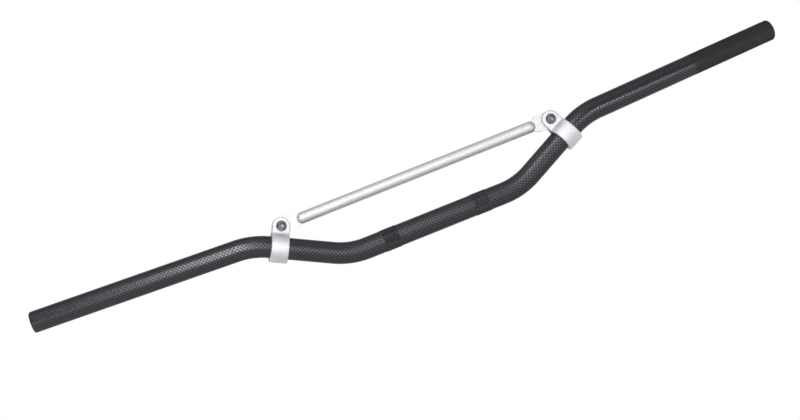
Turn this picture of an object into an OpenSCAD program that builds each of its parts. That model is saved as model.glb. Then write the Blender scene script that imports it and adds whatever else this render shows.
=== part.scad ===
// Motorcycle handlebar with a crossbar, held by two one-piece clamps.
// The origin is the middle of the centre section, on the tube's axis. X runs along the bar, Z is up,
// the front (the screw heads) faces -Y and the grips sweep back towards +Y.

/* [Handlebar tube] */
// Outer diameter of the tube, the common 22.2 mm grip size
tube_d = 22.2; // [20:0.1:25.4]
// Wall thickness of the tube
tube_wall = 4; // [3:0.1:5]
// Rounding of the outer edge at each open end
tube_end_round = 2.5; // [0.5:0.1:2.8]
// Chamfer of the bore at each open end
tube_bore_chamfer = 0.6; // [0.2:0.1:1]
// Radius of every bend, on the tube's axis
bend_r = 76; // [65:1:80]
// Distance between the corners of the two inner bends
inner_span = 187; // [170:1:230]
// Length of a riser, from corner to corner
riser_len = 100.5; // [100:0.5:130]
// Slope of the risers above the centre section, in degrees
riser_angle = 26.686; // [20:0.001:30]
// Length of a grip, from the outer corner to the open end
grip_len = 235.5; // [180:0.5:280]
// Turn of each outer bend, from the riser to the grip, in degrees
outer_turn = 26.037; // [20:0.001:32]
// Roll of the outer bends backwards round the risers, which sweeps the grips back, in degrees
outer_roll = 23.265; // [10:0.001:35]

/* [Knurled bands] */
// Distance between the middles of the two knurled bands
knurl_span = 100; // [80:1:110]
// Width of a knurled band
knurl_w = 17; // [12:1:24]
// Height of the knurling above the tube
knurl_raise = 0.3; // [0.1:0.05:0.5]

/* [Crossbar] */
// Outer diameter of the crossbar's round part
cross_d = 12; // [10:0.5:14]
// Wall thickness of the crossbar
cross_wall = 2; // [1:0.1:2.5]
// Thickness of the pressed flat ends
tab_t = 4; // [3:0.1:5]
// Width of the pressed flat ends
tab_w = 17; // [15:0.1:18]
// Full-width length of a flat end, inwards from the screw's axis
tab_len = 12.5; // [10:0.5:14]
// Length over which a flat end narrows to the round part
tab_taper = 7.5; // [5:0.5:10]
// Distance from the screw's axis to the middle of the pressed round end
dome_from_screw = 23; // [20:0.5:28]

/* [Clamps] */
// Width of a clamp, along the tube
clamp_w = 18; // [14:0.5:19]
// Wall thickness of a clamp's ring and ears
clamp_t = 4; // [3:0.1:5]
// Distance from the inner bend's corner to the middle of a clamp, along the riser
clamp_from_corner = 73.5; // [60:0.5:74]
// Height of the screw's axis above the tube's axis
screw_h = 22; // [21:0.5:26]
// Radius of a clamp's rounded outer edges
clamp_edge = 1.2; // [0.4:0.1:1.4]
// Radius of the fillet between an ear and the ring
clamp_fillet = 5; // [3:0.5:7]
// Radial gap between a clamp's ring and the tube
clamp_gap = 0.05; // [0.02:0.01:0.2]

/* [Fasteners] */
// Thread diameter of the screws
screw_d = 6; // [5:1:6]
// Diameter of a screw's button head
head_d = 11; // [9:0.5:13]
// Height of a screw's button head
head_h = 3.3; // [2.5:0.1:4]
// Width across the flats of the hexagon socket
socket_af = 4; // [3:0.5:4]
// Depth of the hexagon socket
socket_depth = 2; // [1.2:0.1:2.4]
// Extra diameter of the holes that a screw passes through
hole_play = 0.4; // [0.2:0.1:0.8]
// Radial gap between a screw's thread and its nut
thread_gap = 0.05; // [0.02:0.01:0.1]
// Outer diameter of a washer
washer_d = 12; // [11:0.5:14]
// Thickness of a washer
washer_t = 1.6; // [1:0.1:2]
// Width across the flats of a lock nut
nut_af = 10; // [9:0.5:11]
// Height of a lock nut's hexagon
nut_hex_h = 4.4; // [3.5:0.1:5]
// Height of a lock nut's round collar
nut_collar_h = 1.6; // [1:0.1:2]
// Inset of the collar from the flats
nut_collar_inset = 0.4; // [0.2:0.1:1]
// Length of thread that stands out of the nut
thread_out = 0.8; // [0.4:0.1:3]

/* [Hidden] */
$fn = 96;
// Extra length of a cutting shape past the face that it cuts
cut = 1;

tube_r = tube_d / 2;
bore_r = tube_r - tube_wall;
cross_r = cross_d / 2;

// Direction and corner of the right riser
riser_dir = [cos(riser_angle), 0, sin(riser_angle)];
inner_corner = [inner_span / 2, 0, 0];

// Lengths that the bends take from the stretches beside them, and of what stays straight
inner_cut = bend_r * tan(riser_angle / 2);
outer_cut = bend_r * tan(outer_turn / 2);
half_centre = inner_span / 2 - inner_cut;
riser_straight = riser_len - inner_cut - outer_cut;
grip_straight = grip_len - outer_cut;

// The clamp's middle on the tube's axis, and the screw's axis above it
clamp_mid = inner_corner + clamp_from_corner * riser_dir;
clamp_up = [-sin(riser_angle), 0, cos(riser_angle)];
screw_mid = clamp_mid + screw_h * clamp_up;

ring_in = tube_r + clamp_gap;
ring_out = ring_in + clamp_t;
ear_y = tab_t / 2 + clamp_t;
hole_r = (screw_d + hole_play) / 2;
shank_r = screw_d / 2 - thread_gap;
nut_h = nut_hex_h + nut_collar_h;
shank_len = 2 * ear_y + washer_t + nut_h + thread_out;
collar_r = nut_af / 2 - nut_collar_inset;

// A straight rod of radius r from the origin along Y
module straight(length, r) {
    rotate([-90, 0, 0])
        cylinder(h = length, r = r);
}

// A bent rod of radius r that leaves the origin along Y and turns towards -X
module bend(angle, r) {
    reach = 2 * bend_r;
    translate([-bend_r, 0, 0])
        difference() {
            rotate([0, 0, -90])
                rotate_extrude()
                    translate([bend_r, 0])
                        circle(r = r);
            translate([-reach, -reach, -bend_r])
                cube([2 * reach, reach, 2 * bend_r]);
            rotate([0, 0, angle])
                translate([-reach, 0, -bend_r])
                    cube([2 * reach, reach, 2 * bend_r]);
        }
}

// Carries its children to the end of such a bend
module after_bend(angle) {
    translate([-bend_r, 0, 0])
        rotate([0, 0, angle])
            translate([bend_r, 0, 0])
                children();
}

// The right half of the bar as a rod of radius r, with the children's outline turned into its grip
module half_rod(r) {
    rotate([90, 0, 0])
        rotate([0, 0, -90]) {
            straight(half_centre, r);
            translate([0, half_centre, 0]) {
                bend(riser_angle, r);
                after_bend(riser_angle) {
                    straight(riser_straight, r);
                    translate([0, riser_straight, 0])
                        rotate([0, 180 + outer_roll, 0]) {
                            bend(outer_turn, r);
                            after_bend(outer_turn)
                                rotate([-90, 0, 0])
                                    rotate_extrude()
                                        children();
                        }
                }
            }
        }
}

// Outline of a grip, from its axis outwards, with a rounded outer edge at the open end
module grip_outline(length) {
    square([tube_r, length - tube_end_round]);
    square([tube_r - tube_end_round, length]);
    translate([tube_r - tube_end_round, length - tube_end_round])
        intersection() {
            circle(r = tube_end_round);
            square(tube_end_round);
        }
}

// Outline of a grip's bore, which widens in a chamfer at the open end
module grip_bore_outline(length) {
    square([bore_r, length + cut]);
    polygon([
        [0, length - tube_bore_chamfer],
        [bore_r, length - tube_bore_chamfer],
        [bore_r + tube_bore_chamfer + cut, length + cut],
        [0, length + cut]
    ]);
}

module both_sides() {
    children();
    mirror([1, 0, 0])
        children();
}

module knurled_band() {
    translate([(knurl_span - knurl_w) / 2, 0, 0])
        rotate([0, 90, 0])
            difference() {
                cylinder(h = knurl_w, r = tube_r + knurl_raise);
                translate([0, 0, -cut])
                    cylinder(h = knurl_w + 2 * cut, r = bore_r + tube_wall / 2);
            }
}

module handlebar_tube() {
    color([0.17, 0.16, 0.19]) {
        difference() {
            both_sides()
                half_rod(tube_r)
                    grip_outline(grip_straight);
            both_sides()
                half_rod(bore_r)
                    grip_bore_outline(grip_straight);
        }
        both_sides()
            knurled_band();
    }
}

// Front outline of a flat end, with the screw's axis at the origin and the round part towards -X
module tab_outline() {
    circle(r = tab_w / 2);
    polygon([
        [0, tab_w / 2],
        [-tab_len, tab_w / 2],
        [-tab_len - tab_taper, cross_r - 0.01],
        [-dome_from_screw, cross_r - 0.01],
        [-dome_from_screw, 0.01 - cross_r],
        [-tab_len - tab_taper, 0.01 - cross_r],
        [-tab_len, -tab_w / 2],
        [0, -tab_w / 2]
    ]);
}

module crossbar() {
    round_end = screw_mid.x - dome_from_screw;
    color([0.86, 0.86, 0.88]) {
        difference() {
            union() {
                translate([-round_end, 0, screw_mid.z])
                    rotate([0, 90, 0])
                        cylinder(h = 2 * round_end, r = cross_r);
                both_sides() {
                    translate([round_end, 0, screw_mid.z])
                        sphere(r = cross_r);
                    translate([screw_mid.x, tab_t / 2, screw_mid.z])
                        rotate([90, 0, 0])
                            linear_extrude(tab_t)
                                tab_outline();
                }
            }
            translate([-round_end, 0, screw_mid.z])
                rotate([0, 90, 0])
                    cylinder(h = 2 * round_end, r = cross_r - cross_wall);
            both_sides()
                translate([screw_mid.x, ear_y, screw_mid.z])
                    rotate([90, 0, 0])
                        cylinder(h = 2 * ear_y, r = hole_r);
        }
    }
}

// Section of a clamp's ring: a plate of the clamp's width with rounded outer edges
module ring_section() {
    translate([ring_in, -clamp_w / 2])
        square([clamp_t - clamp_edge, clamp_w]);
    translate([ring_in, clamp_edge - clamp_w / 2])
        square([clamp_t, clamp_w - 2 * clamp_edge]);
    for (side = [-1, 1])
        translate([ring_out - clamp_edge, side * (clamp_w / 2 - clamp_edge)])
            circle(r = clamp_edge);
}

// Half of an ear's section seen from the end, from the middle of its width to the rounded outer edge
module ear_half_section() {
    square([clamp_w / 2, clamp_t - clamp_edge]);
    square([clamp_w / 2 - clamp_edge, clamp_t]);
    translate([clamp_w / 2 - clamp_edge, clamp_t - clamp_edge])
        intersection() {
            circle(r = clamp_edge);
            square(clamp_edge);
        }
}

// One ear, its inner face on the XZ plane and its outer face towards +Y, the tube's axis at the origin
module ear() {
    linear_extrude(screw_h) {
        ear_half_section();
        mirror([1, 0])
            ear_half_section();
    }
    translate([0, 0, screw_h])
        rotate([-90, 0, 0])
            rotate_extrude()
                ear_half_section();
}

// The web that fills the corner between the ring and the outer face of an ear
module ear_fillet() {
    centre_y = ear_y + clamp_fillet;
    centre_z = sqrt(pow(ring_out + clamp_fillet, 2) - pow(centre_y, 2));
    foot = [centre_y, centre_z] * ring_out / (ring_out + clamp_fillet);
    rotate([90, 0, 90])
        linear_extrude(clamp_w - 2 * clamp_edge, center = true)
            difference() {
                polygon([
                    [tab_t / 2, 0],
                    [tab_t / 2, centre_z],
                    [ear_y, centre_z],
                    [centre_y, centre_z],
                    foot
                ]);
                translate([centre_y, centre_z])
                    circle(r = clamp_fillet);
            }
}

// A clamp in its own frame: the tube's axis along X, the ears up and the front towards -Y
module clamp_body() {
    difference() {
        union() {
            rotate([0, 90, 0])
                rotate_extrude()
                    ring_section();
            for (side = [0, 1])
                mirror([0, side, 0]) {
                    translate([0, tab_t / 2, 0])
                        ear();
                    ear_fillet();
                }
        }
        rotate([0, 90, 0])
            cylinder(h = clamp_w + 2 * cut, r = ring_in, center = true);
        translate([-clamp_w, -tab_t / 2, 0])
            cube([2 * clamp_w, tab_t, screw_h + clamp_w]);
        translate([0, ear_y + cut, screw_h])
            rotate([90, 0, 0])
                cylinder(h = 2 * (ear_y + cut), r = hole_r);
    }
}

// Places its children on the right riser, in a clamp's own frame
module on_riser() {
    translate(clamp_mid)
        rotate([0, -riser_angle, 0])
            children();
}

// A hexagonal rod of width af across the flats
module hexagon(af, h) {
    cylinder(h = h, r = af / 2 / cos(30), $fn = 6);
}

// A screw with its axis along Z, the underside of its head at the origin and the head below it
module screw_body() {
    dome_r = (pow(head_d / 2, 2) + pow(head_h, 2)) / (2 * head_h);
    difference() {
        union() {
            intersection() {
                translate([0, 0, dome_r - head_h])
                    sphere(r = dome_r);
                translate([0, 0, -head_h])
                    cylinder(h = head_h, r = head_d / 2);
            }
            cylinder(h = shank_len, r = shank_r);
        }
        translate([0, 0, -head_h - cut])
            hexagon(socket_af, socket_depth + cut);
    }
}

module washer_body() {
    difference() {
        cylinder(h = washer_t, r = washer_d / 2);
        translate([0, 0, -cut])
            cylinder(h = washer_t + 2 * cut, r = hole_r);
    }
}

// A lock nut: a hexagon with bevelled corners, and a round collar
module lock_nut_body() {
    corner_r = nut_af / 2 / cos(30);
    bevel = (corner_r - nut_af / 2) * tan(30);
    difference() {
        union() {
            intersection() {
                hexagon(nut_af, nut_hex_h);
                union() {
                    cylinder(h = nut_hex_h - bevel, r = corner_r);
                    translate([0, 0, nut_hex_h - bevel])
                        cylinder(h = bevel, r1 = corner_r, r2 = nut_af / 2);
                }
            }
            translate([0, 0, nut_hex_h])
                cylinder(h = nut_collar_h, r1 = collar_r, r2 = collar_r - nut_collar_h / 2);
        }
        translate([0, 0, -cut])
            cylinder(h = nut_h + 2 * cut, r = screw_d / 2);
    }
}

// Places its children on the right screw's axis, their Z axis pointing back, from the depth y
module on_screw(y) {
    translate([screw_mid.x, y, screw_mid.z])
        rotate([-90, 0, 0])
            children();
}

module clamp_right() {
    color([0.93, 0.93, 0.95])
        on_riser()
            clamp_body();
}

module clamp_left() {
    mirror([1, 0, 0])
        clamp_right();
}

module screw_right() {
    color([0.36, 0.36, 0.39])
        on_screw(-ear_y)
            screw_body();
}

module screw_left() {
    mirror([1, 0, 0])
        screw_right();
}

module washer_right() {
    color([0.7, 0.7, 0.72])
        on_screw(ear_y)
            washer_body();
}

module washer_left() {
    mirror([1, 0, 0])
        washer_right();
}

module lock_nut_right() {
    color([0.6, 0.6, 0.62])
        on_screw(ear_y + washer_t)
            lock_nut_body();
}

module lock_nut_left() {
    mirror([1, 0, 0])
        lock_nut_right();
}

handlebar_tube();
crossbar();
clamp_left();
clamp_right();
screw_left();
screw_right();
washer_left();
washer_right();
lock_nut_left();
lock_nut_right();
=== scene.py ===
import math

import bmesh
import bpy
from mathutils import Matrix, Vector


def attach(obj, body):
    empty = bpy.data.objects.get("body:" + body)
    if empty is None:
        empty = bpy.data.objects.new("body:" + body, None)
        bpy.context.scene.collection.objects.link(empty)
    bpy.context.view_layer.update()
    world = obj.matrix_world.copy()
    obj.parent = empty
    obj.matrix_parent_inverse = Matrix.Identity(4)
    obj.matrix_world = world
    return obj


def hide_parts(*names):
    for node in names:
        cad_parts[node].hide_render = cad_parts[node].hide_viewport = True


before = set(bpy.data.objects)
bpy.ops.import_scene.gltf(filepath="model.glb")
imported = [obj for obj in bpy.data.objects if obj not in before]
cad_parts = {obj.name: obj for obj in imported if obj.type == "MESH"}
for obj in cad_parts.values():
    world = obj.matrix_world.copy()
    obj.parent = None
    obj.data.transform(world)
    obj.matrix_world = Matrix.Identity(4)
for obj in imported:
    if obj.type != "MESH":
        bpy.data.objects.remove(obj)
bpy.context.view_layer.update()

MM = 0.001

# Sizes of the solids, in metres and radians
TUBE_R = 11.1 * MM
BORE_R = 7.1 * MM
BEND_R = 76 * MM
INNER_TURN = math.radians(26.686)
OUTER_TURN = math.radians(26.037)
OUTER_ROLL = math.radians(23.265)
INNER_CUT = BEND_R * math.tan(INNER_TURN / 2)
OUTER_CUT = BEND_R * math.tan(OUTER_TURN / 2)
HALF_CENTRE = 93.5 * MM - INNER_CUT
RISER = 100.5 * MM - INNER_CUT - OUTER_CUT
GRIP = 235.5 * MM - OUTER_CUT
END_ROUND = 2.5 * MM
KNURL_MIDDLE = 50 * MM
KNURL_W = 17 * MM
CLAMP_FROM_CORNER = 73.5 * MM
CLAMP_W = 18 * MM
SCREW_H = 22 * MM
RING_IN = 11.15 * MM
RING_OUT = 15.15 * MM
EAR_IN = 2 * MM
EAR_OUT = 6 * MM
CLAMP_FILLET = 5 * MM
CROSS_R = 6 * MM

# Directions of the right half's axis, and the points where its bends start
ALONG = Vector((1, 0, 0))
UP = Vector((0, 0, 1))
BACK = Vector((0, 1, 0))
RISER_DIR = Vector((math.cos(INNER_TURN), 0, math.sin(INNER_TURN)))
RISER_UP = Vector((-math.sin(INNER_TURN), 0, math.cos(INNER_TURN)))
OUTER_IN = math.sin(OUTER_ROLL) * BACK - math.cos(OUTER_ROLL) * RISER_UP
GRIP_DIR = math.cos(OUTER_TURN) * RISER_DIR + math.sin(OUTER_TURN) * OUTER_IN
INNER_START = HALF_CENTRE * ALONG
OUTER_START = 93.5 * MM * ALONG + (100.5 * MM - OUTER_CUT) * RISER_DIR
CLAMP_MID = 93.5 * MM * ALONG + CLAMP_FROM_CORNER * RISER_DIR
SCREW_MID = CLAMP_MID + SCREW_H * RISER_UP


# Modelling helpers


def select_only(piece):
    bpy.ops.object.select_all(action="DESELECT")
    piece.select_set(True)
    bpy.context.view_layer.objects.active = piece


def named(name):
    """Names the primitive that was just added, and puts its place into its mesh."""
    piece = bpy.context.object
    piece.name = piece.data.name = name
    bpy.ops.object.transform_apply(location=True, rotation=True, scale=True)
    return piece


def edit(piece):
    select_only(piece)
    bpy.ops.object.mode_set(mode="EDIT")


def done():
    bpy.ops.object.mode_set(mode="OBJECT")


def pick(piece, kind, test):
    """In edit mode: selects only the verts, edges or faces of the piece that pass the test."""
    bpy.ops.mesh.select_mode(type={"verts": "VERT", "edges": "EDGE", "faces": "FACE"}[kind])
    bpy.ops.mesh.select_all(action="DESELECT")
    mesh = bmesh.from_edit_mesh(piece.data)
    for part in getattr(mesh, kind):
        if test(part):
            part.select_set(True)
    mesh.select_flush_mode()
    bmesh.update_edit_mesh(piece.data)


def push(step):
    bpy.ops.mesh.extrude_region_move(TRANSFORM_OT_translate={"value": tuple(step)})


def swing(centre, axis, angle, steps):
    """Spins the selection about the axis by the right-hand rule."""
    bpy.ops.mesh.spin(steps=steps, angle=-angle, center=tuple(centre), axis=tuple(axis))


def widen(factor, centre):
    bpy.ops.transform.resize(value=(factor,) * 3, center_override=tuple(centre))


def make_solid():
    """In edit mode: joins doubles and turns all faces outwards."""
    bpy.ops.mesh.select_mode(type="VERT")
    bpy.ops.mesh.select_all(action="SELECT")
    bpy.ops.mesh.remove_doubles(threshold=0.002 * MM)
    bpy.ops.mesh.select_all(action="SELECT")
    bpy.ops.mesh.normals_make_consistent(inside=False)


def smooth(piece, degrees=35):
    select_only(piece)
    bpy.ops.object.shade_smooth_by_angle(angle=math.radians(degrees))


def apply_modifier(piece, kind, **settings):
    select_only(piece)
    modifier = piece.modifiers.new(kind.title(), kind)
    for key, value in settings.items():
        setattr(modifier, key, value)
    bpy.ops.object.modifier_apply(modifier=modifier.name)


def copy_of(piece, name, matrix):
    """A copy with its own mesh, placed by the matrix; a mirrored one has its faces turned outwards again."""
    twin = piece.copy()
    twin.data = piece.data.copy()
    twin.name = twin.data.name = name
    bpy.context.collection.objects.link(twin)
    twin.data.transform(matrix)
    if matrix.determinant() < 0:
        twin.data.flip_normals()
    return twin


def ring_stack(name, rings, sides=48, closed=False):
    """Turned piece round Z: each ring is (height, radius), and each next one is extruded from the last."""
    height, radius = rings[0]
    bpy.ops.object.select_all(action="DESELECT")
    bpy.ops.mesh.primitive_circle_add(vertices=sides, radius=radius, location=(0, 0, height))
    piece = named(name)
    edit(piece)
    bpy.ops.mesh.select_all(action="SELECT")
    for next_height, next_radius in rings[1:]:
        push((0, 0, next_height - height))
        widen(next_radius / radius, (0, 0, next_height))
        height, radius = next_height, next_radius
    if not closed:
        for end in (rings[0][0], rings[-1][0]):
            pick(piece, "edges", lambda e: e.is_boundary and abs(e.verts[0].co.z - end) < 1e-7)
            bpy.ops.mesh.edge_face_add()
    make_solid()
    done()
    return piece


# The tube


def straightened(point):
    """Where a point of the tube would lie if the bar were straight along X."""
    p = Vector((abs(point.x), point.y, point.z))
    for start, u, w, turn in (
        (OUTER_START, RISER_DIR, OUTER_IN, OUTER_TURN),
        (INNER_START, ALONG, UP, INNER_TURN),
    ):
        rel = p - start
        a, b, c = rel.dot(u), rel.dot(w), rel.dot(u.cross(w))
        if a > 0:
            angle = min(math.atan2(a, BEND_R - b), turn)
            lean_a = a * math.cos(angle) - (BEND_R - b) * math.sin(angle)
            lean_b = a * math.sin(angle) + (BEND_R - b) * math.cos(angle)
            p = start + (BEND_R * angle + lean_a) * u + (BEND_R - lean_b) * w + c * u.cross(w)
    return Vector((math.copysign(p.x, point.x), p.y, p.z))


def lay_weave(piece):
    """UV map of the tube: metres along the bar, and turns round it."""
    mesh = piece.data
    uv = mesh.uv_layers.new(name="Weave") if not mesh.uv_layers else mesh.uv_layers[0]
    uv.name = "Weave"
    flat = [straightened(v.co) for v in mesh.vertices]
    for face in mesh.polygons:
        turns = []
        for corner in face.loop_indices:
            p = flat[mesh.loops[corner].vertex_index]
            turn = math.atan2(p.y, -p.z) / math.tau
            if turns and turn - turns[0] > 0.5:
                turn -= 1
            if turns and turn - turns[0] < -0.5:
                turn += 1
            turns.append(turn)
            uv.data[corner].uv = (p.x, turn)


def model_tube():
    bpy.ops.object.select_all(action="DESELECT")
    bpy.ops.mesh.primitive_circle_add(vertices=96, radius=TUBE_R, rotation=(0, math.pi / 2, 0))
    tube = named("bent_tube")
    edit(tube)
    bpy.ops.mesh.select_all(action="SELECT")
    push(HALF_CENTRE * ALONG)
    swing(INNER_START + BEND_R * UP, -BACK, INNER_TURN, 20)
    push(RISER * RISER_DIR)
    swing(OUTER_START + BEND_R * OUTER_IN, RISER_DIR.cross(OUTER_IN), OUTER_TURN, 20)
    grip_start = OUTER_START + BEND_R * OUTER_IN + BEND_R * (
        math.sin(OUTER_TURN) * RISER_DIR - math.cos(OUTER_TURN) * OUTER_IN
    )
    at, radius = 0, TUBE_R
    steps = [(GRIP - END_ROUND, TUBE_R)]
    for k in range(1, 9):
        a = math.radians(90 * k / 8)
        steps.append((GRIP - END_ROUND * (1 - math.sin(a)), TUBE_R - END_ROUND * (1 - math.cos(a))))
    steps += [(GRIP, BORE_R + 0.6 * MM), (GRIP - 0.6 * MM, BORE_R), (0, BORE_R)]
    for next_at, next_radius in steps:
        push((next_at - at) * GRIP_DIR)
        widen(next_radius / radius, grip_start + next_at * GRIP_DIR)
        at, radius = next_at, next_radius
    swing(OUTER_START + BEND_R * OUTER_IN, RISER_DIR.cross(OUTER_IN), -OUTER_TURN, 20)
    push(-RISER * RISER_DIR)
    swing(INNER_START + BEND_R * UP, -BACK, -INNER_TURN, 20)
    push(-HALF_CENTRE * ALONG)
    done()
    apply_modifier(tube, "MIRROR", merge_threshold=0.01 * MM)
    edit(tube)
    make_solid()
    done()
    smooth(tube, 40)
    return tube


def model_knurled_band():
    """A ring of small pyramids with V-grooves crossing between them, sunk a little into the tube."""
    sides, rows = 116, 28
    pitch = KNURL_W / rows
    low, high = TUBE_R + 0.04 * MM, TUBE_R + 0.3 * MM
    rings = [(-KNURL_W / 2, TUBE_R - 0.4 * MM)]
    rings += [(-KNURL_W / 2 + pitch * k, low) for k in range(rows + 1)]
    rings += [(KNURL_W / 2, TUBE_R - 0.4 * MM), (-KNURL_W / 2, TUBE_R - 0.4 * MM)]
    band = ring_stack("knurled_band", rings, sides, closed=True)
    for v in band.data.vertices:
        r = math.hypot(v.co.x, v.co.y)
        if r > TUBE_R and abs(v.co.z) < KNURL_W / 2 - pitch / 2:
            column = round(math.atan2(v.co.y, v.co.x) / math.tau * sides)
            row = round((v.co.z + KNURL_W / 2) / pitch)
            if (column + row) % 2 == 0:
                v.co.x *= high / r
                v.co.y *= high / r
    edit(band)
    bpy.ops.mesh.select_all(action="SELECT")
    bpy.ops.mesh.quads_convert_to_tris(quad_method="SHORTEST_DIAGONAL")
    done()
    return band


# The crossbar


def model_crossbar():
    """A round tube whose ends are pressed flat, with a domed shoulder before each flat end."""
    screw_x, screw_z = SCREW_MID.x, SCREW_MID.z
    tab_r, half_t = 8.5 * MM, 2 * MM
    dome_at, tab_full, tab_narrow = 23 * MM, 12.5 * MM, 20 * MM
    sides = 64
    bpy.ops.object.select_all(action="DESELECT")
    bpy.ops.mesh.primitive_circle_add(vertices=sides, radius=CROSS_R, rotation=(0, math.pi / 2, 0))
    bar = named("crossbar_rod")
    edit(bar)
    bpy.ops.mesh.select_all(action="SELECT")
    stops = [screw_x - dome_at - 3 * MM]
    stops += [screw_x - dome_at + k * 0.5 * MM for k in range(-5, 43)]
    stops += [screw_x + tab_r * math.sin(math.radians(a)) for a in range(-8, 89, 6)]
    at = 0
    for stop in stops:
        if stop > at + 0.02 * MM:
            push(((stop - at), 0, 0))
            at = stop
    pick(bar, "edges", lambda e: e.is_boundary and e.verts[0].co.x > at - 1e-6)
    bpy.ops.mesh.edge_face_add()
    done()

    def half_width(d):
        if d >= tab_narrow:
            return CROSS_R
        if d >= tab_full:
            t = (tab_narrow - d) / (tab_narrow - tab_full)
            return CROSS_R + (tab_r - CROSS_R) * t * t * (3 - 2 * t)
        return tab_r if d >= 0 else math.sqrt(max(tab_r**2 - d * d, (0.6 * MM) ** 2))

    for v in bar.data.vertices:
        d = screw_x - v.co.x
        if d > dome_at + 2 * MM:
            continue
        angle = math.atan2(v.co.z, v.co.y)
        wide = half_width(d)
        z = wide * math.sin(angle)
        edge = min(1, abs(math.cos(angle)) * wide / (1.7 * MM))
        flat = half_t * math.sqrt(max(0, 1 - (1 - edge) ** 2))
        sag = max(0, dome_at - d)
        dome = math.sqrt(max(0, CROSS_R**2 - sag**2 - z * z)) if sag < CROSS_R else 0
        k = 0.5 * MM
        h = max(k - abs(flat - dome), 0) / k
        thick = max(flat, dome) + (h * h * k / 4 if dome > 0 and flat > 0.5 * half_t else 0)
        v.co.y = math.copysign(thick, math.cos(angle))
        v.co.z = z
    bar.data.transform(Matrix.Translation((0, 0, screw_z)))
    apply_modifier(bar, "MIRROR", merge_threshold=0.01 * MM)
    edit(bar)
    make_solid()
    done()
    smooth(bar, 50)
    return bar


# The clamps


def model_clamp():
    """One flat strap bent round the tube, both ends standing up as ears; the tube's axis along X."""
    fillet_y = EAR_OUT + CLAMP_FILLET
    fillet_z = math.sqrt((RING_OUT + CLAMP_FILLET) ** 2 - fillet_y**2)
    fillet_turn = math.atan2(fillet_z, fillet_y)
    ring_turn = math.tau - 2 * (math.pi / 2 - fillet_turn)
    top = SCREW_H + CLAMP_W / 2
    bpy.ops.object.select_all(action="DESELECT")
    bpy.ops.mesh.primitive_plane_add(size=1, location=(0, -(EAR_IN + EAR_OUT) / 2, top))
    bpy.context.object.scale = (CLAMP_W, EAR_OUT - EAR_IN, 1)
    clamp = named("clamp")
    edit(clamp)
    bpy.ops.mesh.select_all(action="SELECT")
    bpy.ops.mesh.delete(type="ONLY_FACE")
    bpy.ops.mesh.select_all(action="SELECT")
    push((0, 0, fillet_z - top))
    swing((0, -fillet_y, fillet_z), -ALONG, fillet_turn, 10)
    swing((0, 0, 0), ALONG, ring_turn, 64)
    swing((0, fillet_y, fillet_z), -ALONG, fillet_turn, 10)
    push((0, 0, top - fillet_z))
    pick(clamp, "edges", lambda e: e.is_boundary)
    bpy.ops.mesh.fill_holes(sides=8)
    make_solid()
    pick(clamp, "edges", lambda e: all(
        abs(v.co.z - top) < 1e-6 and abs(abs(v.co.x) - CLAMP_W / 2) < 1e-6 for v in e.verts
    ) and abs(e.verts[0].co.y - e.verts[1].co.y) > MM)
    bpy.ops.mesh.bevel(offset=CLAMP_W / 2 - 0.01 * MM, segments=14, affect="EDGES", clamp_overlap=False)
    make_solid()

    def is_rim(e, outer):
        if not e.is_manifold or e.calc_face_angle(0) < math.radians(60):
            return False
        mid = (e.verts[0].co + e.verts[1].co) / 2
        y, z = abs(mid.y), mid.z
        if z > fillet_z:
            return (y > (EAR_IN + EAR_OUT) / 2) == outer
        if y * fillet_z < z * fillet_y:
            return (math.hypot(y - fillet_y, z - fillet_z) < CLAMP_FILLET + 2 * MM) == outer
        return (math.hypot(y, z) > (RING_IN + RING_OUT) / 2) == outer

    pick(clamp, "edges", lambda e: is_rim(e, True))
    bpy.ops.mesh.bevel(offset=1.2 * MM, segments=5, affect="EDGES")
    pick(clamp, "edges", lambda e: is_rim(e, False))
    bpy.ops.mesh.bevel(offset=0.3 * MM, segments=2, affect="EDGES")
    make_solid()
    done()
    drill = ring_stack("drill", [(-20 * MM, 3.2 * MM), (20 * MM, 3.2 * MM)])
    drill.data.transform(Matrix.Translation((0, 0, SCREW_H)) @ Matrix.Rotation(math.pi / 2, 4, "X"))
    apply_modifier(clamp, "BOOLEAN", operation="DIFFERENCE", object=drill, solver="EXACT")
    bpy.data.objects.remove(drill)
    smooth(clamp, 30)
    return clamp


# The fasteners


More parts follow.
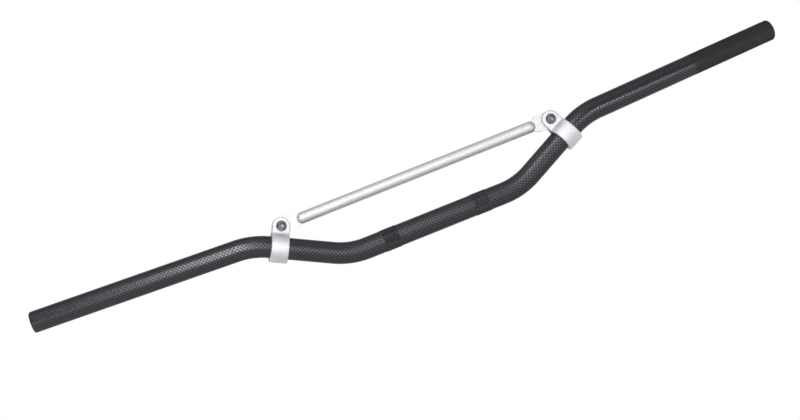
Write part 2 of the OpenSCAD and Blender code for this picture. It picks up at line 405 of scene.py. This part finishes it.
def model_screw():
    """An M6 button-head screw: underside of the head at the origin, head towards -Z, thread towards +Z."""
    head_r, head_h, shank_r, shank = 5.5 * MM, 3.3 * MM, 2.95 * MM, 20.4 * MM
    dome_r = (head_r**2 + head_h**2) / (2 * head_h)
    flats, depth = 2 * MM, 2 * MM
    rings = [(-head_h + depth + 0.5 * MM, 0.15 * MM), (-head_h + depth, flats)]
    rings += [(-head_h + 0.35 * MM, flats), (-head_h + 0.03 * MM, 2.5 * MM)]
    rim = math.asin(2.75 * MM / dome_r)
    last = math.asin(head_r / dome_r)
    for k in range(9):
        a = rim + (last - rim) * k / 8
        rings.append((dome_r - head_h - dome_r * math.cos(a), dome_r * math.sin(a)))
    rings += [(-0.12 * MM, head_r), (0, head_r - 0.15 * MM), (0, shank_r + 0.3 * MM), (0.3 * MM, shank_r)]
    thread_from, pitch = 6 * MM, 1 * MM
    count = 100
    rings += [(thread_from + (shank - 0.5 * MM - thread_from) * k / count, shank_r) for k in range(count + 1)]
    rings += [(shank, 2.2 * MM), (shank + 0.001 * MM, 0.2 * MM)]
    screw = ring_stack("screw", rings)
    for v in screw.data.vertices:
        r = math.hypot(v.co.x, v.co.y)
        turn = math.atan2(v.co.y, v.co.x)
        if v.co.z < -head_h + depth + 0.1 * MM and abs(r - flats) < 0.02 * MM:
            corner = (turn + math.pi / 6) % (math.pi / 3) - math.pi / 6
            grow = 1 / math.cos(corner)
            v.co.x *= grow
            v.co.y *= grow
        elif thread_from < v.co.z < shank - 0.2 * MM and r > shank_r - 0.01 * MM:
            wave = abs(((v.co.z / pitch - turn / math.tau) % 1) * 2 - 1)
            shrink = 1 - 0.16 * max(0, min(1, 1.25 * wave - 0.1))
            v.co.x *= shrink
            v.co.y *= shrink
    smooth(screw, 32)
    return screw


def model_washer():
    r, hole, t, c = 6 * MM, 3.2 * MM, 1.6 * MM, 0.15 * MM
    rings = [(0, hole), (0, r - c), (c, r), (t - c, r), (t, r - c), (t, hole + c), (t - c, hole), (0, hole)]
    washer = ring_stack("washer", rings, 64, closed=True)
    smooth(washer, 30)
    return washer


def model_nut():
    """A lock nut: a hexagon with bevelled corners, a rolled collar and the locking ring inside it."""
    af, hexagon, collar = 5 * MM, 4.4 * MM, 1.6 * MM
    corner_r = af / math.cos(math.pi / 6)
    levels = [0, 0.12, 0.25, 0.38, 0.6, 3.8, 4.0, 4.15, 4.28, 4.4]
    rings = [(0, 3.3 * MM)] + [(h * MM, corner_r) for h in levels]
    rings += [(4.4 * MM, 4.75 * MM), (4.5 * MM, 4.6 * MM), (5.5 * MM, 4.4 * MM), (5.8 * MM, 4.2 * MM)]
    rings += [(5.99 * MM, 3.9 * MM), (6.0 * MM, 3.6 * MM), (5.9 * MM, 3.45 * MM), (5.6 * MM, 3.4 * MM)]
    rings += [(5.59 * MM, 3.1 * MM), (5.2 * MM, 3.0 * MM), (0.3 * MM, 3.0 * MM), (0, 3.3 * MM)]
    nut = ring_stack("lock_nut", rings, 72, closed=True)
    for v in nut.data.vertices:
        r = math.hypot(v.co.x, v.co.y)
        if abs(r - corner_r) < 0.01 * MM:
            turn = math.atan2(v.co.y, v.co.x)
            corner = (turn + math.pi / 6) % (math.pi / 3) - math.pi / 6
            bevel = 4.95 * MM + min(v.co.z, hexagon - v.co.z) / math.tan(math.radians(30))
            size = min(af / math.cos(corner), bevel)
            v.co.x *= size / r
            v.co.y *= size / r
    smooth(nut, 30)
    return nut


# Finishes


def nodes_of(name):
    material = bpy.data.materials.new(name)
    material.use_nodes = True
    nodes = material.node_tree.nodes
    nodes.clear()
    output = nodes.new("ShaderNodeOutputMaterial")
    shader = nodes.new("ShaderNodeBsdfPrincipled")
    material.node_tree.links.new(shader.outputs[0], output.inputs[0])
    return material, shader


class Wiring:
    """Short words for adding nodes and joining them."""

    def __init__(self, material):
        self.tree = material.node_tree

    def add(self, kind, **settings):
        node = self.tree.nodes.new("ShaderNode" + kind)
        for key, value in settings.items():
            setattr(node, key, value)
        return node

    def feed(self, socket, value):
        if isinstance(value, bpy.types.NodeSocket):
            self.tree.links.new(value, socket)
        else:
            socket.default_value = value

    def math(self, operation, a, b=0.0, c=0.0):
        node = self.add("Math", operation=operation)
        for socket, value in zip(node.inputs, (a, b, c)):
            self.feed(socket, value)
        return node.outputs[0]

    def mix(self, factor, a, b):
        node = self.add("Mix", data_type="FLOAT")
        self.feed(node.inputs[0], factor)
        self.feed(node.inputs[2], a)
        self.feed(node.inputs[3], b)
        return node.outputs[0]

    def tint(self, factor, a, b):
        node = self.add("Mix", data_type="RGBA")
        self.feed(node.inputs[0], factor)
        self.feed(node.inputs[6], a if isinstance(a, bpy.types.NodeSocket) else (*a, 1))
        self.feed(node.inputs[7], b if isinstance(b, bpy.types.NodeSocket) else (*b, 1))
        return node.outputs[2]

    def noise(self, vector, scale, detail=2.0, roughness=0.5):
        node = self.add("TexNoise")
        self.feed(node.inputs["Vector"], vector)
        node.inputs["Scale"].default_value = scale
        node.inputs["Detail"].default_value = detail
        node.inputs["Roughness"].default_value = roughness
        return node.outputs["Fac"]

    def stretch(self, vector, scale):
        node = self.add("Mapping")
        self.feed(node.inputs["Vector"], vector)
        node.inputs["Scale"].default_value = scale
        return node.outputs[0]

    def bump(self, height, strength, distance):
        node = self.add("Bump")
        node.inputs["Strength"].default_value = strength
        node.inputs["Distance"].default_value = distance
        self.feed(node.inputs["Height"], height)
        return node.outputs[0]


def carbon_weave():
    """Dark woven finish under a satin lacquer: square cells about 2 mm wide, plain at the right-hand end."""
    material, shader = nodes_of("carbon_weave_finish")
    w = Wiring(material)
    uv = w.add("UVMap", uv_map="Weave")
    split = w.add("SeparateXYZ")
    w.feed(split.inputs[0], uv.outputs[0])
    coords = w.add("TexCoord").outputs["Object"]
    patches = w.noise(coords, 55, 3, 0.6)
    fibre = w.noise(coords, 900, 2, 0.6)
    wander = w.math("MULTIPLY", w.math("SUBTRACT", w.noise(coords, 240, 2, 0.5), 0.5), 0.55)
    along = w.math("ADD", w.math("MULTIPLY", split.outputs[0], 1 / (1.94 * MM)), wander)
    around = w.math("ADD", w.math("MULTIPLY", split.outputs[1], 36), wander)
    odd = w.math("MODULO", w.math("ADD", w.math("ADD", w.math("FLOOR", along), w.math("FLOOR", around)), 2000), 2)
    crown_u = w.math("SINE", w.math("MULTIPLY", w.math("FRACT", along), math.pi))
    crown_v = w.math("SINE", w.math("MULTIPLY", w.math("FRACT", around), math.pi))
    tow_a = w.math("MULTIPLY", w.math("POWER", crown_v, 0.5), w.math("ADD", w.math("MULTIPLY", crown_u, 0.6), 0.4))
    tow_b = w.math("MULTIPLY", w.math("POWER", crown_u, 0.5), w.math("ADD", w.math("MULTIPLY", crown_v, 0.6), 0.4))
    height = w.mix(odd, tow_a, tow_b)
    plain = w.add("MapRange", interpolation_type="SMOOTHSTEP")
    w.feed(plain.inputs[0], split.outputs[0])
    plain.inputs[1].default_value = 0.3255
    plain.inputs[2].default_value = 0.3285
    woven = w.math("SUBTRACT", 1, plain.outputs[0])
    bright = w.tint(odd, (0.0048, 0.0040, 0.0062), (0.0052, 0.0044, 0.0066))
    cell = w.tint(woven, (0.024, 0.020, 0.023), bright)
    w.feed(shader.inputs["Base Color"], w.tint(w.math("MULTIPLY", patches, 0.4), cell, (0.0095, 0.0085, 0.0120)))
    shader.inputs["Specular Tint"].default_value = (0.94, 0.91, 1.0, 1)
    shader.inputs["IOR"].default_value = 1.67
    cell_at = w.add("CombineXYZ")
    w.feed(cell_at.inputs[0], w.math("FLOOR", along))
    w.feed(cell_at.inputs[1], w.math("FLOOR", around))
    chance = w.add("TexWhiteNoise", noise_dimensions="3D")
    w.feed(chance.inputs["Vector"], cell_at.outputs[0])
    chance = chance.outputs["Value"]
    rough = w.mix(woven, 0.5, w.mix(odd, 0.34, w.mix(chance, 0.28, 0.2)))
    rough = w.math("ADD", rough, w.math("MULTIPLY", w.math("SUBTRACT", patches, 0.5), 0.08))
    w.feed(shader.inputs["Roughness"], rough)
    relief = w.math("ADD", w.math("MULTIPLY", height, woven), w.math("MULTIPLY", fibre, 0.25))
    w.feed(shader.inputs["Normal"], w.bump(relief, 0.11, 0.12 * MM))
    gloss = w.mix(woven, 0.22, w.mix(odd, 0.34, 0.82))
    edge = w.add("LayerWeight")
    edge.inputs["Blend"].default_value = 0.5
    fade = w.add("MapRange", interpolation_type="SMOOTHSTEP")
    w.feed(fade.inputs[0], edge.outputs["Facing"])
    fade.inputs[1].default_value = 0.18
    fade.inputs[2].default_value = 0.62
    fade.inputs[3].default_value = 1.0
    fade.inputs[4].default_value = 0.12
    w.feed(shader.inputs["Specular IOR Level"], w.math("MULTIPLY", gloss, fade.outputs[0]))
    return material


def satin_silver(name, colour, roughness, grain=(1, 1, 1), bump=0.05):
    """Bead-blasted or drawn aluminium, with a fine grain and faint patches."""
    material, shader = nodes_of(name)
    w = Wiring(material)
    coords = w.add("TexCoord").outputs["Object"]
    grains = w.noise(w.stretch(coords, grain), 1400, 2, 0.6)
    patches = w.noise(coords, 40, 3, 0.55)
    darker = tuple(0.90 * c for c in colour)
    w.feed(shader.inputs["Base Color"], w.tint(patches, darker, colour))
    shader.inputs["Metallic"].default_value = 1.0
    shader.inputs["Specular Tint"].default_value = (0.35, 0.35, 0.37, 1)
    rough = w.math("ADD", roughness - 0.03, w.math("MULTIPLY", grains, 0.06))
    w.feed(shader.inputs["Roughness"], rough)
    w.feed(shader.inputs["Normal"], w.bump(grains, bump, 0.05 * MM))
    return material


def dark_steel():
    """Dark zinc-coated steel, lighter where it was touched."""
    material, shader = nodes_of("dark_screw_steel")
    w = Wiring(material)
    coords = w.add("TexCoord").outputs["Object"]
    blotch = w.noise(coords, 260, 3, 0.6)
    w.feed(shader.inputs["Base Color"], w.tint(blotch, (0.14, 0.14, 0.155), (0.36, 0.36, 0.38)))
    shader.inputs["Metallic"].default_value = 1.0
    w.feed(shader.inputs["Roughness"], w.mix(blotch, 0.32, 0.5))
    w.feed(shader.inputs["Normal"], w.bump(blotch, 0.1, 0.05 * MM))
    return material


def nylon():
    material, shader = nodes_of("locking_ring_nylon")
    w = Wiring(material)
    coords = w.add("TexCoord").outputs["Object"]
    cloud = w.noise(coords, 700, 2, 0.5)
    w.feed(shader.inputs["Base Color"], w.tint(cloud, (0.55, 0.60, 0.68), (0.70, 0.74, 0.80)))
    shader.inputs["Roughness"].default_value = 0.5
    return material


def finish_with(piece, *materials):
    piece.data.materials.clear()
    for material in materials:
        piece.data.materials.append(material)


# Build

weave = carbon_weave()
bar_silver = satin_silver("satin_crossbar_silver", (0.82, 0.81, 0.83), 0.55, (0.05, 1, 1), 0.004)
clamp_silver = satin_silver("bright_clamp_silver", (0.86, 0.84, 0.88), 0.6, bump=0.004)
screw_steel = dark_steel()
zinc = satin_silver("zinc_plate", (0.62, 0.62, 0.64), 0.42)
locking_nylon = nylon()

tube = model_tube()
band = model_knurled_band()
band.data.transform(Matrix.Translation((KNURL_MIDDLE, 0, 0)) @ Matrix.Rotation(math.pi / 2, 4, "Y"))
left_band = copy_of(band, "knurled_band_left", Matrix.Scale(-1, 4, ALONG))
select_only(tube)
band.select_set(True)
left_band.select_set(True)
bpy.ops.object.join()
tube.name = tube.data.name = "bent_tube"
lay_weave(tube)
finish_with(tube, weave)
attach(tube, "root")
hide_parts("handlebar_tube")

crossbar = model_crossbar()
finish_with(crossbar, bar_silver)
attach(crossbar, "root")
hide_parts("crossbar")

mirror = Matrix.Scale(-1, 4, ALONG)
on_riser = Matrix.Translation(CLAMP_MID) @ Matrix.Rotation(-INNER_TURN, 4, "Y")


def on_screw(depth):
    return Matrix.Translation((SCREW_MID.x, depth, SCREW_MID.z)) @ Matrix.Rotation(-math.pi / 2, 4, "X")


for model, place, node, slot, materials in (
    (model_clamp, on_riser, "clamp", "clamp_alloy", [clamp_silver]),
    (model_screw, on_screw(-EAR_OUT), "screw", "screw_steel", [screw_steel]),
    (model_washer, on_screw(EAR_OUT), "washer", "zinc_steel", [zinc]),
    (model_nut, on_screw(EAR_OUT + 1.6 * MM), "lock_nut", "zinc_steel", [zinc, locking_nylon]),
):
    piece = model()
    finish_with(piece, *materials)
    if len(materials) > 1:
        for face in piece.data.polygons:
            r = math.hypot(face.center.x, face.center.y)
            if face.center.z > 5.15 * MM and r < 3.45 * MM:
                face.material_index = 1
    piece.data.transform(place)
    piece.name = piece.data.name = node + "_shape_right"
    twin = copy_of(piece, node + "_shape_left", mirror)
    for shape, side in ((piece, "right"), (twin, "left")):
        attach(shape, "root")
        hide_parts(node + "_" + side)

# Floor, light and camera

yaw, roll, distance = math.radians(9.58), math.radians(21.778), 3.0
forward = Vector((math.sin(yaw), math.cos(yaw), 0))
level = Vector((math.cos(yaw), -math.sin(yaw), 0))
right = math.cos(roll) * level - math.sin(roll) * UP
upward = math.sin(roll) * level + math.cos(roll) * UP

FLOOR_Z = -0.45
bpy.ops.object.select_all(action="DESELECT")
bpy.ops.mesh.primitive_plane_add(size=60, location=(0, 0, FLOOR_Z))
floor = named("pale_floor")
paper, shader = nodes_of("pale_paper")
w = Wiring(paper)
path = w.add("LightPath")
glow = w.add("Emission")
glow.inputs["Strength"].default_value = 1.0
matte = w.add("BsdfDiffuse")
grain = w.noise(w.add("TexCoord").outputs["Object"], 30, 2, 0.5)
w.feed(matte.inputs["Color"], w.tint(grain, (0.84, 0.84, 0.84), (0.88, 0.88, 0.88)))
seen = w.math("MAXIMUM", path.outputs["Is Camera Ray"], path.outputs["Is Transmission Ray"])


def beyond(centre, start, end, near):
    """1 past this ring on the floor, falling to the near value inside it."""
    reach = w.add("VectorMath", operation="DISTANCE")
    w.feed(reach.inputs[0], w.add("TexCoord").outputs["Object"])
    reach.inputs[1].default_value = centre
    ring = w.add("MapRange", interpolation_type="SMOOTHSTEP")
    w.feed(ring.inputs[0], reach.outputs["Value"])
    for socket, value in zip(ring.inputs[1:5], (start, end, near, 1.0)):
        socket.default_value = value
    return ring.outputs[0]


to_eye = w.math("MULTIPLY", seen, beyond((0, 0, FLOOR_Z), 0.35, 0.9, 0.7))
to_gloss = w.math("MULTIPLY", path.outputs["Is Glossy Ray"], beyond((0, -0.6, FLOOR_Z), 0.7, 1.1, 0.05))
mixed = w.add("MixShader")
w.feed(mixed.inputs[0], w.math("MAXIMUM", to_eye, to_gloss))
paper.node_tree.links.new(matte.outputs[0], mixed.inputs[1])
paper.node_tree.links.new(glow.outputs[0], mixed.inputs[2])
output = [n for n in paper.node_tree.nodes if n.type == "OUTPUT_MATERIAL"][0]
paper.node_tree.links.new(mixed.outputs[0], output.inputs[0])
paper.node_tree.nodes.remove(shader)
finish_with(floor, paper)

# The room: white where the camera looks and behind the bar, elsewhere a light that is brighter overhead
room = bpy.data.worlds.new("studio")
bpy.context.scene.world = room
room.use_nodes = True
room.node_tree.nodes.clear()
w = Wiring(room)
path = w.add("LightPath")
heading = w.add("SeparateXYZ")
w.feed(heading.inputs[0], w.add("TexCoord").outputs["Object"])
behind = w.add("MapRange", interpolation_type="SMOOTHSTEP")
w.feed(behind.inputs[0], heading.outputs["Y"])
behind.inputs[1].default_value = 0.25
behind.inputs[2].default_value = 0.85
overhead = w.add("MapRange", interpolation_type="SMOOTHSTEP")
w.feed(overhead.inputs[0], heading.outputs["Z"])
overhead.inputs[1].default_value = -0.15
overhead.inputs[2].default_value = 0.7
overhead.inputs[3].default_value = 0.15
overhead.inputs[4].default_value = 0.45
seen = w.math("MAXIMUM", path.outputs["Is Camera Ray"], path.outputs["Is Transmission Ray"])
seen = w.math("MAXIMUM", seen, w.math("MULTIPLY", path.outputs["Is Glossy Ray"], behind.outputs[0]))
air = w.add("Background")
w.feed(air.inputs["Color"], w.tint(seen, (0.97, 0.98, 1.0), (1, 1, 1)))
w.feed(air.inputs["Strength"], w.mix(seen, overhead.outputs[0], 1.0))
sky = w.add("OutputWorld")
room.node_tree.links.new(air.outputs[0], sky.inputs[0])


def softbox(name, turn, rise, size, light_level, gap=2.2):
    """A soft lamp seen from the bar at these degrees to the right of and above the camera."""
    turn, rise = math.radians(turn), math.radians(rise)
    toward = math.cos(rise) * (math.sin(turn) * level - math.cos(turn) * forward) + math.sin(rise) * UP
    data = bpy.data.lights.new(name, "AREA")
    data.shape = "RECTANGLE"
    data.size, data.size_y = size
    data.energy = light_level * math.pi**2 * gap**2
    lamp = bpy.data.objects.new(name, data)
    bpy.context.collection.objects.link(lamp)
    across = UP.cross(toward).normalized()
    over = toward.cross(across)
    lamp.matrix_world = Matrix((
        (across.x, over.x, toward.x, gap * toward.x),
        (across.y, over.y, toward.y, gap * toward.y),
        (across.z, over.z, toward.z, gap * toward.z),
        (0, 0, 0, 1),
    ))
    return lamp


softbox("tall_softbox", -6, 20, (0.48, 2.5), 0.5)
softbox("right_softbox", 15, 22, (0.6, 2.2), 0.12)
softbox("side_strip", 45, -3, (0.6, 0.6), 0.08)
softbox("top_softbox", 8, 70, (2.6, 1.4), 0.05)

# Camera: 3 m in front, a little to the left, rolled as the photo was turned
place = -distance * forward - 0.036146 * right + 0.010654 * upward
lens = bpy.data.cameras.new("photo_view")
lens.sensor_fit = "HORIZONTAL"
lens.sensor_width = 36
lens.lens = 132.91
lens.clip_end = 60
camera = bpy.data.objects.new("photo_view", lens)
bpy.context.collection.objects.link(camera)
camera.matrix_world = Matrix((
    (right.x, upward.x, -forward.x, place.x),
    (right.y, upward.y, -forward.y, place.y),
    (right.z, upward.z, -forward.z, place.z),
    (0, 0, 0, 1),
))
bpy.context.scene.camera = camera
bpy.context.scene.view_settings.view_transform = "Standard"
